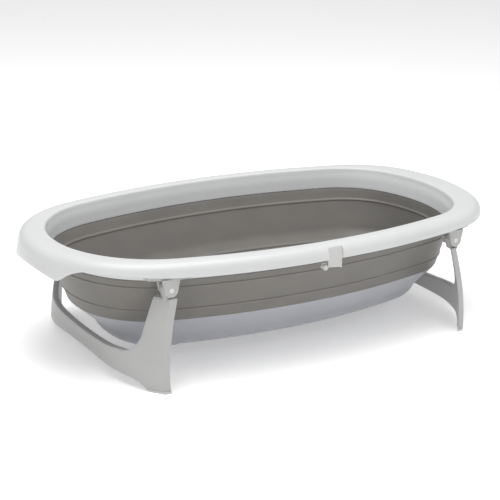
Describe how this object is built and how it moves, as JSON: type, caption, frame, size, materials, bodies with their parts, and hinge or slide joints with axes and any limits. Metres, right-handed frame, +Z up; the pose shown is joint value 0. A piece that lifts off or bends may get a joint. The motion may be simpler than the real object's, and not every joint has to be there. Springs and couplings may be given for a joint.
{
  "type": "folding baby bathtub",
  "caption": "Folding baby bathtub: rigid rim with a grip lip, soft wall that folds up, rigid tray with a drain, and two hinged leg frames.",
  "frame": {"origin": "middle of the bounding box in plan, on the floor under the four feet", "axes": "+X from the handle end to the foot end, +Y from the front side to the back side, +Z up"},
  "size_m": [0.8399, 0.4659, 0.206],
  "materials": {
    "white_shell": "satin moulded polypropylene",
    "soft_wall": "matt thermoplastic rubber",
    "tray_shell": "satin moulded polypropylene",
    "leg_plastic": "fine-grained moulded polypropylene",
    "pin_plastic": "acetal pin",
    "pad_rubber": "grippy thermoplastic rubber",
    "plug_plastic": "soft-touch plug",
    "clip_plastic": "moulded clip",
    "screw_steel": "self-tapping screw"
  },
  "bodies": {
    "rim_body": {"rim": "white_shell", "wall_upper_band": "soft_wall", "wall_fold_band": "soft_wall", "side_clip": "clip_plastic", "bracket_screws": "screw_steel", "bracket_handle_front": "leg_plastic", "bracket_handle_back": "leg_plastic", "bracket_foot_front": "leg_plastic", "bracket_foot_back": "leg_plastic", "hinge_pin_handle_front": "pin_plastic", "hinge_pin_handle_back": "pin_plastic", "hinge_pin_foot_front": "pin_plastic", "hinge_pin_foot_back": "pin_plastic"},
    "tray_body": {"tray": "tray_shell", "wall_lower_band": "soft_wall", "wall_liner": "soft_wall", "tray_pads": "pad_rubber", "drain_seat": "tray_shell"},
    "plug_body": {"drain_plug": "plug_plastic", "plug_seal": "pad_rubber"},
    "leg_handle_body": {"leg_frame_handle": "leg_plastic", "foot_pad_handle_front": "pad_rubber", "foot_pad_handle_back": "pad_rubber"},
    "leg_foot_body": {"leg_frame_foot": "leg_plastic", "foot_pad_foot_front": "pad_rubber", "foot_pad_foot_back": "pad_rubber"}
  },
  "joints": [
    {"name": "bowl_fold", "type": "slide", "parent": "rim_body", "child": "tray_body", "axis": [0, 0, 1], "range_m": [0, 0.094], "deforming": ["wall_fold_band"]},
    {"name": "leg_handle_fold", "type": "hinge", "parent": "rim_body", "child": "leg_handle_body", "pos_m": [-0.263, 0, 0.163], "axis": [0, -1, 0], "range_deg": [0, 90.1]},
    {"name": "leg_foot_fold", "type": "hinge", "parent": "rim_body", "child": "leg_foot_body", "pos_m": [0.283, 0, 0.163], "axis": [0, 1, 0], "range_deg": [0, 90.1]},
    {"name": "plug_pull", "type": "slide", "parent": "tray_body", "child": "plug_body", "axis": [0, 0, 1], "range_m": [0, 0.03]}
  ],
  "couplings": [
    {"joint": "leg_handle_fold", "follows": "bowl_fold", "rad_per_m": 16.711},
    {"joint": "leg_foot_fold", "follows": "bowl_fold", "rad_per_m": 16.711}
  ]
}
